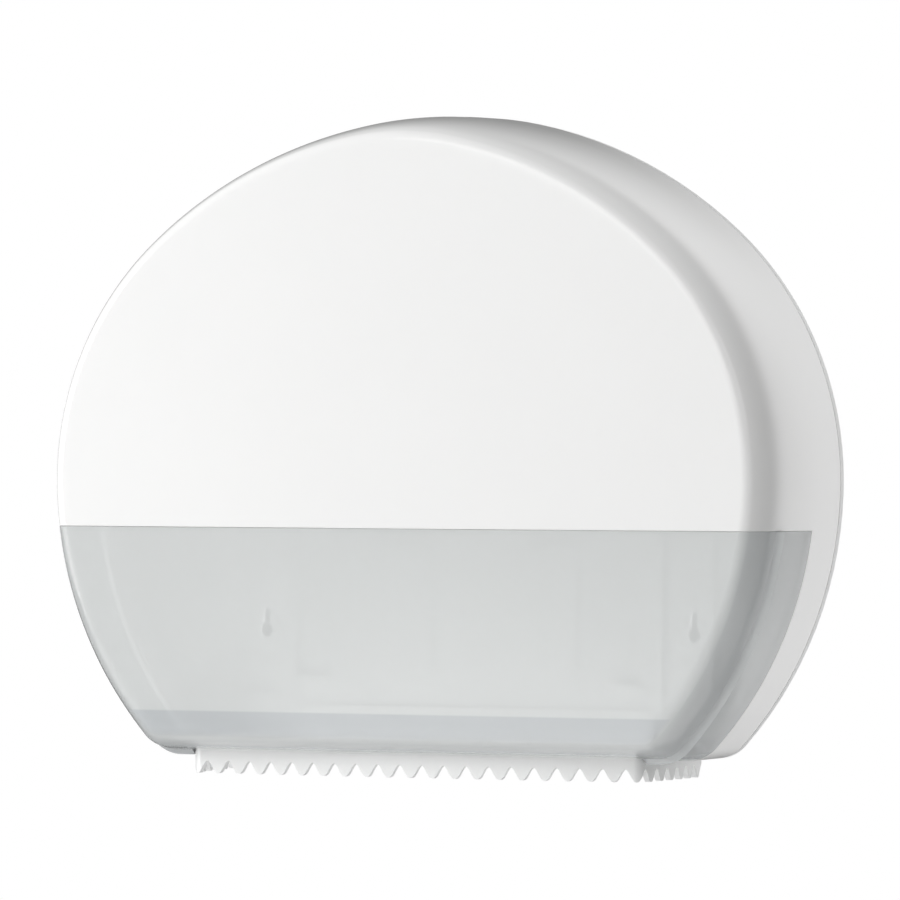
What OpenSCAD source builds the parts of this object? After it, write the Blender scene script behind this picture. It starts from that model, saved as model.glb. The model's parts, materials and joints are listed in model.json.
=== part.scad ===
// Jumbo toilet roll dispenser for a wall: a back plate that carries a main spindle and a
// stub-roll spindle, and a cover that is hinged at the bottom and locked at the top.
// Millimetres. +X right, +Y into the wall, +Z up. The origin lies on the wall plane, midway
// between the round parts of the two keyholes. "Rise" is a height above the bottom edge.

/* [Body outline] */
// Overall width at the widest place
body_w = 437; // [425:1:450]
// Height of the outline from its bottom edge to its top
body_h = 362.8; // [356:0.2:370]
// Depth from the wall to the front of the cover
body_d = 133; // [126:1:142]
// Rise of the widest place
widest_rise = 156.3; // [150:0.1:162]
// Radius of the long side arc below the widest place
side_r = 222.7; // [215:0.1:230]
// Radius of the bottom corners at the wall
corner_r = 21.5; // [17:0.1:26]
// Radius of the bottom corners round the front face
face_corner_r = 8; // [6.5:0.5:12]
// Radius of the shoulder arc above the widest place
shoulder_r = 190.9; // [186:0.1:194]
// Radius of the arc between the shoulder and the top
brow_r = 256.4; // [240:0.1:270]
// Direction of travel at which the shoulder arc meets the brow arc
shoulder_turn = 137.6; // [130:0.1:144]
// Direction of travel at which the brow arc meets the top arc
brow_turn = 169.4; // [165:0.1:172]

/* [Cover] */
// Wall of the cover and of its window
cover_wall = 2.6; // [2:0.1:3.2]
// Width of the rounding from the side wall to the front face
edge_in = 14; // [10:0.5:18]
// Depth over which the side wall rounds into the front face
edge_depth = 98; // [85:1:105]
// Power of the rounding curve, where 2 is an ellipse
edge_power = 2.2; // [2:0.05:2.6]
// Share of the sides' rounding that the bottom wall follows
bottom_share = 0.67; // [0.5:0.01:0.8]
// Inward move of the sides from which the bottom wall curls up faster
curl_from = 7.7; // [7:0.1:9]
// How much faster the bottom wall curls up from there
curl_rate = 1.9; // [1.5:0.1:2.3]
// Crown of the front face
front_crown = 4; // [2:0.5:6]
// Draft of the side and bottom walls over the whole depth
side_draft = 0.7; // [0.2:0.1:1.5]
// Draft of the top wall over the whole depth
top_draft = 3.2; // [2:0.1:4]
// Gap between the cover and the rim of the back plate
rim_gap = 0.8; // [0.7:0.1:1.2]
// Rise of the window's top edge
window_rise = 129; // [120:1:140]
// Distance of the window's rear edge from the wall
window_back = 49; // [44:1:56]
// Seam between the window and the white shell
seam = 0.15; // [0.1:0.05:0.3]

/* [Back plate] */
// Thickness of the plate
plate_t = 3; // [2.5:0.1:3.5]
// Depth of the rim round the plate
rim_d = 5; // [4:0.2:6]
// Wall of the rim
rim_t = 2.2; // [1.8:0.1:3]
// Height of the locating rib inside the top of the cover
rib_h = 9; // [7:0.5:11]
// Thickness of ribs and of the locating rib
rib_t = 1.8; // [1.4:0.1:2.2]
// Sliding gap between the locating rib and the cover
rib_gap = 0.6; // [0.4:0.1:1]

/* [Wall fixing] */
// Rise of the keyholes' round parts
key_rise = 69; // [64:1:76]
// Distance between the two keyholes
key_span = 262; // [250:1:270]
// Radius of a keyhole's round part
key_r = 4.4; // [4:0.1:5]
// Width of a keyhole's slot
slot_w = 4.4; // [4:0.1:5.5]
// Travel from the round part to the end of the slot
slot_rise = 11; // [9:0.5:13]
// Rise of the two upper screw holes
upper_rise = 292; // [280:1:300]
// Distance between the two upper screw holes
upper_span = 150; // [120:1:180]
// Radius of the upper screw holes
upper_r = 2.6; // [2.2:0.1:3.2]

/* [Roll spindles] */
// Rise of both spindles
spindle_rise = 165; // [162:1:170]
// Distance of the main spindle to the left of the middle
main_x = 75; // [70:1:80]
// Distance of the stub spindle to the right of the middle
stub_x = 125; // [118:1:130]
// Radius of an axle
axle_r = 8; // [7:0.5:9]
// Running clearance of a hub on its axle
run_gap = 0.06; // [0.03:0.01:0.09]
// Outer radius of a hub
hub_r = 27; // [24:0.5:28.5]
// Wall of a hub
hub_wall = 2.2; // [1.8:0.1:3]
// Radius of a hub's rear flange
hub_flange_r = 35.5; // [34:0.5:36]
// Length of the main hub
main_hub_l = 94; // [85:1:97]
// Length of the stub hub
stub_hub_l = 82; // [70:1:92]
// Radius of a spindle's base
base_r = 34; // [31:0.5:36]
// Thickness of a spindle's base
base_t = 6; // [5:0.5:8]
// Thickness of a brake washer
washer_t = 2; // [1.5:0.1:2.5]
// Thickness of an axle's end cap
cap_t = 4; // [3:0.5:5]

/* [Hinge] */
// Distance of the hinge axis from the wall
hinge_out = 18; // [16:0.5:20]
// Rise of the hinge axis
hinge_rise = 3.2; // [3:0.1:4]
// Radius of a hinge pin
pin_r = 1.5; // [1.2:0.1:1.8]
// Radius of a hinge knuckle
knuckle_r = 3; // [2.6:0.1:3.1]
// Half distance between the hinges, to the middle of their lugs
hinge_half = 119; // [112:1:120]
// Width of a hinge lug
lug_w = 6; // [5:0.5:8]

/* [Tear skirt] */
// Half width of the skirt at its front corners
skirt_half_w = 135.2; // [134.6:0.1:135.8]
// Distance of the middle of the skirt's front behind the front of the cover
skirt_inset = 27.2; // [26:0.2:29]
// Radius of the skirt's bowed front
skirt_front_r = 1380; // [1200:10:1600]
// Radius of the skirt's corners
skirt_corner_r = 5.9; // [5.5:0.1:7]
// Direction in which the skirt's sides leave the corners, where 90 is straight back
skirt_lead = 80.8; // [80:0.2:84]
// Radius of the skirt's curved sides
skirt_side_r = 402; // [390:2:430]
// Wall of the skirt
skirt_t = 3.5; // [3:0.1:4]
// Distance from tooth to tooth
tooth_pitch = 13.24; // [13.1:0.01:13.4]
// Number of tooth pitches from the middle to each end of the skirt
half_pitches = 16.5; // [15.5:1:16.5]
// Height of a tooth
tooth_h = 7.1; // [5.5:0.1:8]
// Power of the teeth's wave, above 1 for wide tips and narrow gaps
tooth_power = 1.24; // [1:0.02:1.6]
// Distance of the tooth tips below the bottom edge
tooth_drop = 10.2; // [9:0.1:11]
// Rise of the scalloped flange on top of the skirt
flange_rise = 8.4; // [8.2:0.1:9]

/* [Lock] */
// Distance of the lock's axis from the wall
lock_out = 49; // [46:1:54]
// Radius of the lock barrel
barrel_r = 6; // [5:0.5:7]
// Half width of the lock's opening in the cover
lock_half_w = 11.5; // [10.5:0.5:13]
// Half depth of the lock's opening in the cover
lock_half_d = 9; // [8.5:0.5:10]
// Length of the lock's sleeve below its flange
sleeve_l = 12; // [10:1:14]
// Length of the cam from the barrel's axis
cam_l = 24; // [20:1:26]
// Width of the cam
cam_w = 9; // [7:0.5:10]
// Thickness of the cam and of the keeper
cam_t = 2; // [1.6:0.1:2.6]

/* [Hidden] */
$fn = 64;

white = "#f4f4f2";
smoke = "#b9c0c099";
steel = "#b8bcc0";
grey = "#9a9da0";

eps = 0.01;               // overlap that makes two shapes one solid
rest_gap = 0.2;           // gap between pieces that rest on each other
swing_gap = 0.6;          // gap between pieces that pass each other

// ---------- outline of the body ----------
// t is the direction of travel along the outline: 0 along the bottom, 90 up the side,
// 180 back along the top. The outward normal there is (sin t, -cos t).

function heading(t) = [sin(t), -cos(t)];

half_w = body_w / 2;
side_c = [half_w - side_r, widest_rise];
shoulder_c = [half_w - shoulder_r, widest_rise];
brow_c = shoulder_c - (brow_r - shoulder_r) * heading(shoulder_turn);
top_r = brow_r + brow_c[0] / sin(brow_turn);      // the top arc's centre lies on the middle line
top_c = brow_c + (brow_r - top_r) * heading(brow_turn);
// the arcs above the widest place are stretched upright to end at the stated height
stretch = (body_h - widest_rise) / (top_c[1] + top_r - widest_rise);

// point at travel direction t of the outline moved inward by in, by in_top at the very top
// and by in_bottom along the bottom
function side_point(in, in_top, in_bottom, t) =
    let (c = t < 90 ? side_c : t < shoulder_turn ? shoulder_c : t < brow_turn ? brow_c : top_c,
         r = t < 90 ? side_r : t < shoulder_turn ? shoulder_r : t < brow_turn ? brow_r : top_r,
         end = t < 90 ? in_bottom : in_top,
         p = c + (r - in - (end - in) * pow(cos(t), 2)) * heading(t))
    [p[0], p[1] < widest_rise ? p[1] : widest_rise + stretch * (p[1] - widest_rise)];

// travel direction at which the outline moved inward by in is at this rise
function turn_at(in, rise) =
    rise < widest_rise ? acos((widest_rise - rise) / (side_r - in))
                       : 180 - acos((rise - widest_rise) / stretch / (shoulder_r - in));

corner_steps = 7;    // points of a half ring: round the bottom corner,
lower_steps = 12;    // from there to the window's top edge,
upper_steps = 36;    // from there to the lock's opening,
lock_steps = 2;      // and over the lock's opening
cut_i = 2 + corner_steps + lower_steps;
lock_i = cut_i + upper_steps;
half_n = lock_i + lock_steps;
ring_n = 2 * half_n;

// A level is one ring of the shell: [depth from the wall, inward move, inward move at the top,
// inward move at the bottom, corner radius, scale about the window's top edge].

// travel direction at which the bottom corner meets the side arc
function join_turn(lv, t = 50, n = 4) =
    n == 0 ? t
    : join_turn(lv, acos((widest_rise - lv[3] - lv[4])
                         / (side_r - lv[4] - lv[1] - (lv[3] - lv[1]) * pow(cos(t), 2))), n - 1);

function half_ring(lv, cut) =
    let (in = lv[1], in_top = lv[2], in_bottom = lv[3], rc = lv[4], k = lv[5],
         turn = join_turn(lv),
         cx = side_c[0] + (widest_rise - in_bottom - rc) * tan(turn),
         t_cut = turn_at(in, cut),
         t_lock = 180 - asin(lock_half_w / (top_r - in_top)),
         pts = concat(
             [[0, in_bottom], [outlet_half_w, in_bottom]],
             [for (i = [0 : corner_steps])
                 [cx, in_bottom + rc] + rc * heading(turn * i / corner_steps)],
             [for (i = [1 : lower_steps])
                 side_point(in, in_top, in_bottom, turn + (t_cut - turn) * i / lower_steps)],
             [for (i = [1 : upper_steps])
                 side_point(in, in_top, in_bottom, t_cut + (t_lock - t_cut) * i / upper_steps)],
             [for (i = [1 : lock_steps])
                 side_point(in, in_top, in_bottom, t_lock + (180 - t_lock) * i / lock_steps)]))
    [for (p = pts) [k * p[0], cut + k * (p[1] - cut)]];

function ring(lv, cut) =
    let (h = half_ring(lv, cut))
    concat(h, [for (i = [half_n - 1 : -1 : 1]) [-h[i][0], h[i][1]]]);

// flat outline of the body moved inward by in, in the plane of the wall
module outline(in = 0) {
    polygon([for (p = ring([0, in, in, in, corner_r - in, 1], window_rise)) p - [0, key_rise]]);
}

// extrudes a shape drawn in the wall's plane from depth a to depth b
module slab(a, b) {
    translate([0, -a, 0]) rotate([90, 0, 0]) linear_extrude(b - a) children();
}

// a cylinder that stands out of the wall at x and rise
module post(x, rise, r, a, b) {
    translate([x, -a, rise - key_rise]) rotate([90, 0, 0]) cylinder(r = r, h = b - a);
}

// a box from x, depth and rise ranges
module block(x, d, rise) {
    translate([x[0], -d[1], rise[0] - key_rise]) cube([x[1] - x[0], d[1] - d[0], rise[1] - rise[0]]);
}

// ---------- depth profile of the cover ----------

crown_reach = 180;        // distance over which the front face is crowned
edge_start = body_d - front_crown - edge_depth;
edge_end_k = 1 - edge_in / crown_reach;
cap_scales = [0.93, 0.8, 0.55, 0.28];
curl_soft = 1.5;          // softness of the bend at which the bottom wall starts to curl

function edge_in_at(d) =
    let (s = min(1, max(0, (d - edge_start) / edge_depth)))
    edge_in * (1 - pow(1 - pow(s, edge_power), 1 / edge_power));

// inward move of the bottom wall where the sides move inward by in
function bottom_in(in) =
    bottom_share * in
    + curl_rate / 2 * (in + norm([in - curl_from, curl_soft]) - norm([curl_from, curl_soft]));

// level from a depth before crowning, the inward move of the rounded edge and a scale
function level(d, in, k = 1) =
    let (ck = (1 - in / crown_reach) * k,
         depth = d + front_crown * (1 - ck * ck),
         share = (depth - rim_d) / (body_d - rim_d))
    [depth, in + side_draft * share, in + top_draft * share, bottom_in(in) + side_draft * share,
     corner_r + (face_corner_r - corner_r) * in / edge_in, k];
function level_at(d) = level(d, edge_in_at(d));
function top_rise(d) = body_h - stretch * level_at(d)[2];
function bottom_rise(d) = level_at(d)[3];

wall_share = 0.72;        // share of the edge's depth that is divided evenly
edge_steps = 9;
wall_end = edge_start + wall_share * edge_depth;
edge_turn = asin(pow(wall_share, edge_power / 2));
function edge_levels() =
    [for (i = [1 : edge_steps])
        let (a = edge_turn + (90 - edge_turn) * i / edge_steps)
        level(edge_start + edge_depth * pow(sin(a), 2 / edge_power),
              edge_in * (1 - pow(cos(a), 2 / edge_power)))];
function cap_levels() = [for (k = cap_scales) level(body_d - front_crown, edge_in, k)];

function sorted(v) =
    len(v) < 2 ? v
    : let (m = v[0]) concat(sorted([for (x = v) if (x < m - 0.1) x]), [m],
                            sorted([for (x = v) if (x > m + 0.1) x]));

// ---------- path of the tear skirt ----------
// Seen from above, a bowed front, a small corner and a curved flank touch each other.
// Points are [x, depth]; t is 0 where the skirt faces forward and 90 where it faces sideways.

function outward(t) = [sin(t), cos(t)];

skirt_out = body_d - skirt_inset;
front_turn = asin((skirt_half_w - skirt_corner_r) / (skirt_front_r - skirt_corner_r));
front_c = [0, skirt_out - skirt_front_r];
corner_c = front_c + (skirt_front_r - skirt_corner_r) * outward(front_turn);
flank_c = corner_c - (skirt_side_r - skirt_corner_r) * outward(skirt_lead);
front_l = skirt_front_r * front_turn * PI / 180;
corner_l = skirt_corner_r * (skirt_lead - front_turn) * PI / 180;
skirt_wide = flank_c[0] + skirt_side_r;
outlet_half_w = skirt_wide + rest_gap;
outlet_front = skirt_out + 1;

// distance from the middle to the flank, moved in by off, at a depth
function flank_x(off, depth) =
    flank_c[0] + sqrt(pow(skirt_side_r - off, 2) - pow(depth - flank_c[1], 2));

// right half of the path moved in by off, from the middle back to a depth
function skirt_line(off, rear, round_corner) =
    let (n1 = outward(front_turn), n2 = outward(skirt_lead),
         end = acos((rear - flank_c[1]) / (skirt_side_r - off)))
    concat([for (i = [0 : 5]) front_c + (skirt_front_r - off) * outward(front_turn * i / 6)],
           round_corner
               ? [for (i = [0 : 4])
                     corner_c + (skirt_corner_r - off) * outward(front_turn + (skirt_lead - front_turn) * i / 4)]
               : [corner_c + (skirt_corner_r - off) / (1 + n1 * n2) * (n1 + n2)],
           [for (i = [1 : 8])
               flank_c + (skirt_side_r - off) * outward(skirt_lead + (end - skirt_lead) * i / 8)]);

function backwards(v) = [for (i = [len(v) - 1 : -1 : 0]) v[i]];
function from_second(v) = [for (i = [1 : len(v) - 1]) v[i]];
function left_of(v) = [for (p = v) [-p[0], p[1]]];
function plan(v) = [for (p = v) [p[0], -p[1]]];

// ---------- levels of the shells ----------

lock_rear = lock_out - lock_half_d;
lock_front = lock_out + lock_half_d;
wall_steps = 5;

// all levels of a shell that starts at depth a and must have rings at the depths in stops
function all_levels(a, stops) =
    concat([for (d = sorted(concat([for (s = stops) if (s > a) s], [a],
                [for (i = [1 : wall_steps]) a + (wall_end - a) * i / wall_steps]))) level_at(d)],
           [for (lv = edge_levels()) if (lv[0] > max(concat(stops, [wall_end])) + 0.3) lv], cap_levels());

// inner level of level j, one wall further in along the normal
function inner_level(lvs, j, wall) =
    let (n = len(lvs) - 1,
         p = lvs[max(0, j - 1)], q = lvs[min(n, j + 1)],
         flat = lvs[j][5] < 1 || q[5] < 1,
         a = flat ? 90 : atan2(q[1] - p[1], q[0] - p[0]),
         b = flat ? 90 : atan2(q[3] - p[3], q[0] - p[0]),
         in = wall * cos(a),
         in_bottom = flat ? 0 : wall * (1 - sin(a) * sin(b)) / cos(b))
    [lvs[j][0] - wall * sin(a), lvs[j][1] + in, lvs[j][2] + in, lvs[j][3] + in_bottom,
     lvs[j][4] - in, lvs[j][5]];

// A shell on the rings of lvs. keep is a grid of booleans, one per cell; the last ring is
// closed by a flat face over the points cap[0] .. cap[0] + cap[1].
module ring_shell(lvs, cut, keep, cap) {
    n = len(lvs);
    inner = [for (j = [0 : n - 1]) inner_level(lvs, j, cover_wall)];
    outer_pts = [for (lv = lvs) for (p = ring(lv, cut)) [p[0], -lv[0], p[1] - key_rise]];
    inner_pts = [for (lv = inner) for (p = ring(lv, cut)) [p[0], -lv[0], p[1] - key_rise]];
    m = len(outer_pts);
    at = function (i, j) j * ring_n + i % ring_n;
    has = function (i, j) j >= 0 && j < n - 1 && keep[j][(i + ring_n) % ring_n];
    quad = function (a, b, c, d) [[a, b, c], [a, c, d]];
    cells = [for (j = [0 : n - 2]) for (i = [0 : ring_n - 1]) if (has(i, j))
        let (a = at(i, j), b = at(i + 1, j), c = at(i + 1, j + 1), d = at(i, j + 1))
        each concat(quad(a, d, c, b), quad(m + a, m + b, m + c, m + d),
            has(i - 1, j) ? [] : quad(d, a, m + a, m + d),
            has(i + 1, j) ? [] : quad(b, c, m + c, m + b),
            has(i, j - 1) ? [] : quad(a, b, m + b, m + a),
            has(i, j + 1) || j == n - 2 ? [] : quad(c, d, m + d, m + c))];
    face = [for (i = [cap[1] : -1 : 0]) at(cap[0] + i, n - 1)];
    back = [for (i = [0 : cap[1]]) m + at(cap[0] + i, n - 1)];
    first = at(cap[0], n - 1);
    last = at(cap[0] + cap[1], n - 1);
    polyhedron(concat(outer_pts, inner_pts),
               concat(cells, [face, back], quad(last, first, m + first, m + last)), convexity = 8);
}

// index of a cell counted from the bottom middle on either side
function fold(i) = i < half_n ? i : ring_n - 1 - i;

// ---------- casing ----------

wall_ribs = [112, 142.5];            // distances of the upright ribs from the middle
rib_rise = [24, 131];                // lower and upper end of the upright ribs
wall_rib_h = 2.5;                    // height of the ribs on the plate
pad_x = [28, 61];                    // sides of each raised panel
pad_rise = [41, 120];                // ends of each raised panel
pad_h = 1.2;                         // height of a raised panel
pad_corner = 6;                      // corner radius of a raised panel
apron_rise = 26;                     // top of the thick band over the paper outlet
apron_h = 2;                         // height of that band
apron_half_w = 108;                  // its half width
ledges = [[-168, -122, 31.6], [-112, -90, 42], [83, 97.5, 40]];
ledge_h = 4;                         // height of a ledge
key_pad_r = 9;                       // radius of the raised pad round a keyhole
key_pad_h = 1;                       // height of that pad
rib_from = 0.27;                     // share of the upper part that has no locating rib
pilot_r = 1.25;                      // pilot hole of a small screw
screw_r = 1.2;                       // its shank
screw_head_r = 3;                    // its head
screw_head_h = 2;                    // height of its head
base_screw_at = 24;                  // distance of a base's screws from the axle
boss_h = 5;                          // pilot depth behind a spindle's base

spindles = [[-main_x, main_hub_l], [stub_x, stub_hub_l]];

module keyhole_cut() {
    for (x = [-1, 1] * key_span / 2) {
        post(x, key_rise, key_r, -1, plate_t + key_pad_h + 1);
        post(x, key_rise + slot_rise, slot_w / 2, -1, plate_t + key_pad_h + 1);
        block([x - slot_w / 2, x + slot_w / 2], [-1, plate_t + key_pad_h + 1], [key_rise, key_rise + slot_rise]);
    }
}

module rounded_panel(x, rise, r) {
    for (px = [x[0] + r, x[1] - r], pz = [rise[0] + r, rise[1] - r])
        translate([px, pz - key_rise]) circle(r);
    translate([x[0] + r, rise[0] - key_rise]) square([x[1] - x[0] - 2 * r, rise[1] - rise[0]]);
    translate([x[0], rise[0] + r - key_rise]) square([x[1] - x[0], rise[1] - rise[0] - 2 * r]);
}

module hinge_lug(side) {
    x = side * hinge_half;
    difference() {
        union() {
            block([x - lug_w / 2, x + lug_w / 2], [plate_t - eps, hinge_out],
                  [hinge_rise - knuckle_r, hinge_rise + knuckle_r]);
            translate([x - lug_w / 2, -hinge_out, hinge_rise - key_rise])
                rotate([0, 90, 0]) cylinder(r = knuckle_r, h = lug_w);
        }
        translate([x - lug_w / 2 - 1, -hinge_out, hinge_rise - key_rise])
            rotate([0, 90, 0]) cylinder(r = pin_r + run_gap, h = lug_w + 2);
    }
}

module back_plate() {
    color(white) {
        difference() {
            union() {
                slab(0, plate_t) outline();
                slab(0, rim_d) difference() {
                    outline();
                    outline(rim_t);
                }
                // locating rib inside the top of the cover
                intersection() {
                    slab(plate_t - eps, plate_t + rib_h) difference() {
                        outline(cover_wall + rib_gap + side_draft);
                        outline(cover_wall + rib_gap + side_draft + rib_t);
                    }
                    block([-half_w, half_w], [0, body_d], [widest_rise + rib_from * (body_h - widest_rise), body_h]);
                }
                for (s = [-1, 1]) {
                    for (x = wall_ribs)
                        block([s * x - rib_t / 2, s * x + rib_t / 2], [plate_t - eps, plate_t + wall_rib_h], rib_rise);
                    slab(plate_t - eps, plate_t + pad_h) scale([s, 1]) rounded_panel(pad_x, pad_rise, pad_corner);
                    post(s * key_span / 2, key_rise, key_pad_r, plate_t - eps, plate_t + key_pad_h);
                    post(s * upper_span / 2, upper_rise, upper_r + 3, plate_t - eps, plate_t + key_pad_h);
                    hinge_lug(s);
                }
                block([-apron_half_w, apron_half_w], [plate_t - eps, plate_t + apron_h], [rim_t, apron_rise]);
                for (l = ledges)
                    block([l[0], l[1]], [plate_t - eps, plate_t + ledge_h], [l[2] - rib_t / 2, l[2] + rib_t / 2]);
            }
            keyhole_cut();
            for (s = [-1, 1]) post(s * upper_span / 2, upper_rise, upper_r, -1, plate_t + key_pad_h + 1);
            for (sp = spindles, a = [90, 210, 330])
                post(sp[0] + base_screw_at * cos(a), spindle_rise + base_screw_at * sin(a), pilot_r,
                     plate_t - screw_reach, plate_t + 1);
            for (x = keeper_screw_x) post(x, keeper_screw_rise, pilot_r, plate_t - screw_reach, plate_t + 1);
        }
    }
}

screw_reach = 2.4;                   // how far a screw's shank enters the plate

// small pan-head screw that stands on depth d at x and rise, and enters the plate
module plate_screw(x, rise, d) {
    post(x, rise, screw_r, plate_t - screw_reach + 0.2, d + eps);
    difference() {
        post(x, rise, screw_head_r, d, d + screw_head_h);
        block([x - 0.4, x + 0.4], [d + screw_head_h - 0.8, d + screw_head_h + 1], [rise - 2, rise + 2]);
        block([x - 2, x + 2], [d + screw_head_h - 0.8, d + screw_head_h + 1], [rise - 0.4, rise + 0.4]);
    }
}

// ---------- roll spindles ----------

hub_start = plate_t + base_t + washer_t + 0.3;
hub_front_t = 2.5;                   // thickness of a hub's front and of its flange
hub_rib_t = 1.8;                     // thickness of a hub's ribs
hub_edge = 1.5;                      // rounding of a hub's nose
cap_r = 13;                          // radius of an axle's end cap
axle_pilot = 14;                     // depth of the pilot hole in an axle
base_seat = screw_head_h + 0.8;      // depth of the seat for a base's screw heads

function axle_end(l) = hub_start + l + 0.3;

module spindle(x, l) {
    difference() {
        union() {
            post(x, spindle_rise, base_r, plate_t, plate_t + base_t);
            post(x, spindle_rise, axle_r, plate_t, axle_end(l));
        }
        for (a = [90, 210, 330]) {
            sx = x + base_screw_at * cos(a);
            sz = spindle_rise + base_screw_at * sin(a);
            post(sx, sz, screw_r + 0.3, plate_t - 1, plate_t + base_t + 1);
            post(sx, sz, screw_head_r + 0.3, plate_t + base_t - base_seat, plate_t + base_t + 1);
        }
        post(x, spindle_rise, pilot_r, axle_end(l) - axle_pilot, axle_end(l) + 1);
    }
}

module spindle_screws(x) {
    for (a = [90, 210, 330])
        plate_screw(x + base_screw_at * cos(a), spindle_rise + base_screw_at * sin(a),
                    plate_t + base_t - base_seat);
}

module brake_washer(x) {
    difference() {
        post(x, spindle_rise, base_screw_at - screw_head_r - 1, plate_t + base_t, plate_t + base_t + washer_t);
        post(x, spindle_rise, axle_r + 0.3, plate_t, hub_start);
    }
}

// profile of the hub's outside: flange, tube and rounded nose, turned about the axle
module hub_body(l, r, flange_r, nose) {
    rotate_extrude() {
        difference() {
            union() {
                translate([0, 0]) square([flange_r, hub_front_t]);
                square([r, l - nose]);
                square([r - nose, l]);
                translate([r - nose, l - nose]) circle(nose);
            }
            translate([-flange_r - 1, -1]) square([flange_r + 1, l + 2]);
        }
    }
}

module hub(x, l) {
    bore = axle_r + run_gap;
    translate([x, -hub_start, spindle_rise - key_rise]) rotate([90, 0, 0]) difference() {
        union() {
            difference() {
                hub_body(l, hub_r, hub_flange_r, hub_edge);
                translate([0, 0, hub_front_t])
                    cylinder(r = hub_r - hub_wall, h = l - 2 * hub_front_t);
            }
            cylinder(r = bore + hub_wall, h = l);
            for (a = [0 : 60 : 300]) rotate(a)
                translate([bore + hub_wall / 2, -hub_rib_t / 2, hub_front_t / 2])
                    cube([hub_r - hub_wall - bore, hub_rib_t, l - hub_front_t]);
        }
        translate([0, 0, -1]) cylinder(r = bore, h = l + 2);
    }
}

module axle_cap(x, l) {
    difference() {
        post(x, spindle_rise, cap_r, axle_end(l), axle_end(l) + cap_t);
        post(x, spindle_rise, screw_r + 0.3, axle_end(l) - 1, axle_end(l) + cap_t + 1);
    }
}

module cap_screw(x, l) {
    d = axle_end(l) + cap_t;
    post(x, spindle_rise, screw_r, axle_end(l) - axle_pilot + 2, d + eps);
    difference() {
        post(x, spindle_rise, screw_head_r, d, d + screw_head_h);
        block([x - 0.4, x + 0.4], [d + screw_head_h - 0.8, d + screw_head_h + 1], [spindle_rise - 2, spindle_rise + 2]);
        block([x - 2, x + 2], [d + screw_head_h - 0.8, d + screw_head_h + 1], [spindle_rise - 0.4, spindle_rise + 0.4]);
    }
}

module main_spindle() { color(grey) spindle(-main_x, main_hub_l); }
module main_spindle_screws() { color(steel) spindle_screws(-main_x); }
module main_brake_washer() { color("#55585a") brake_washer(-main_x); }
module main_axle_cap() { color(grey) axle_cap(-main_x, main_hub_l); }
module main_cap_screw() { color(steel) cap_screw(-main_x, main_hub_l); }
module main_hub() { color(grey) hub(-main_x, main_hub_l); }
module stub_spindle() { color(grey) spindle(stub_x, stub_hub_l); }
module stub_spindle_screws() { color(steel) spindle_screws(stub_x); }
module stub_brake_washer() { color("#55585a") brake_washer(stub_x); }
module stub_axle_cap() { color(grey) axle_cap(stub_x, stub_hub_l); }
module stub_cap_screw() { color(steel) cap_screw(stub_x, stub_hub_l); }
module stub_hub() { color(grey) hub(stub_x, stub_hub_l); }

// ---------- cover ----------

shell_rear = rim_d + rim_gap;
shell_levels = all_levels(shell_rear, [window_back - seam / 2, lock_rear, lock_front]);
window_levels = all_levels(window_back + seam / 2, [outlet_front]);

function mid(lvs, j) = (lvs[j][0] + lvs[j + 1][0]) / 2;

function shell_keeps(c, d) =
    (c >= cut_i || d < window_back) && !(c == 0 && d < outlet_front)
    && !(c >= lock_i && d > lock_rear && d < lock_front);
function window_keeps(c, d) = c < cut_i && !(c == 0 && d < outlet_front);

frame_t = 2;                         // thickness of the outlet frame
frame_top = flange_rise + frame_t;
frame_rear = hinge_out - knuckle_r;
frame_x = flank_x(skirt_t + rest_gap, hinge_out) - rest_gap;    // end of the frame's knuckles
frame_reach = 2.5;                   // how far the frame's flange lies over the cover's bottom
frame_lip = 1.5;                     // how far it lies over the front edge of the opening
frame_pad = 6;                       // half length of a pad round the outermost screws
cover_screw_x = outlet_half_w + 8;   // bosses and screws that hold the frame
cover_screw_d = [26, 42];
boss_r = 3.2;

lock_flange_w = lock_half_w + 11;    // half width and half depth of the lock's flange
lock_flange_d = lock_half_d + 4;
lock_flange_t = 2.4;
lock_screw_x = lock_half_w + 6.5;
lock_flange_top = top_rise(lock_out + lock_flange_d) - cover_wall * stretch
                  - lock_flange_w * lock_flange_w / (2 * top_r) - rest_gap;
lock_flange_bottom = lock_flange_top - lock_flange_t;
bezel_top = top_rise(lock_front) - 1.2;
sleeve_end = lock_flange_bottom - sleeve_l;
barrel_end = sleeve_end - 0.3;
cam_bottom = barrel_end - cam_t;
cam_screw_l = 8;                     // length of the cam's screw
keeper_top = cam_bottom - swing_gap;
keeper_bottom = keeper_top - cam_t;
keeper_x = [barrel_r + 6, cam_l + 4];
keeper_lip = [lock_out + cam_w / 2 + swing_gap, lock_out + cam_w / 2 + swing_gap + cam_t];
keeper_base_h = 20;
keeper_screw_x = [keeper_x[0] - 4, keeper_x[1] + 4];
keeper_screw_rise = keeper_bottom - keeper_base_h / 2;

module upright(x, d, r, a, b) {
    translate([x, -d, a - key_rise]) cylinder(r = r, h = b - a);
}

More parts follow.
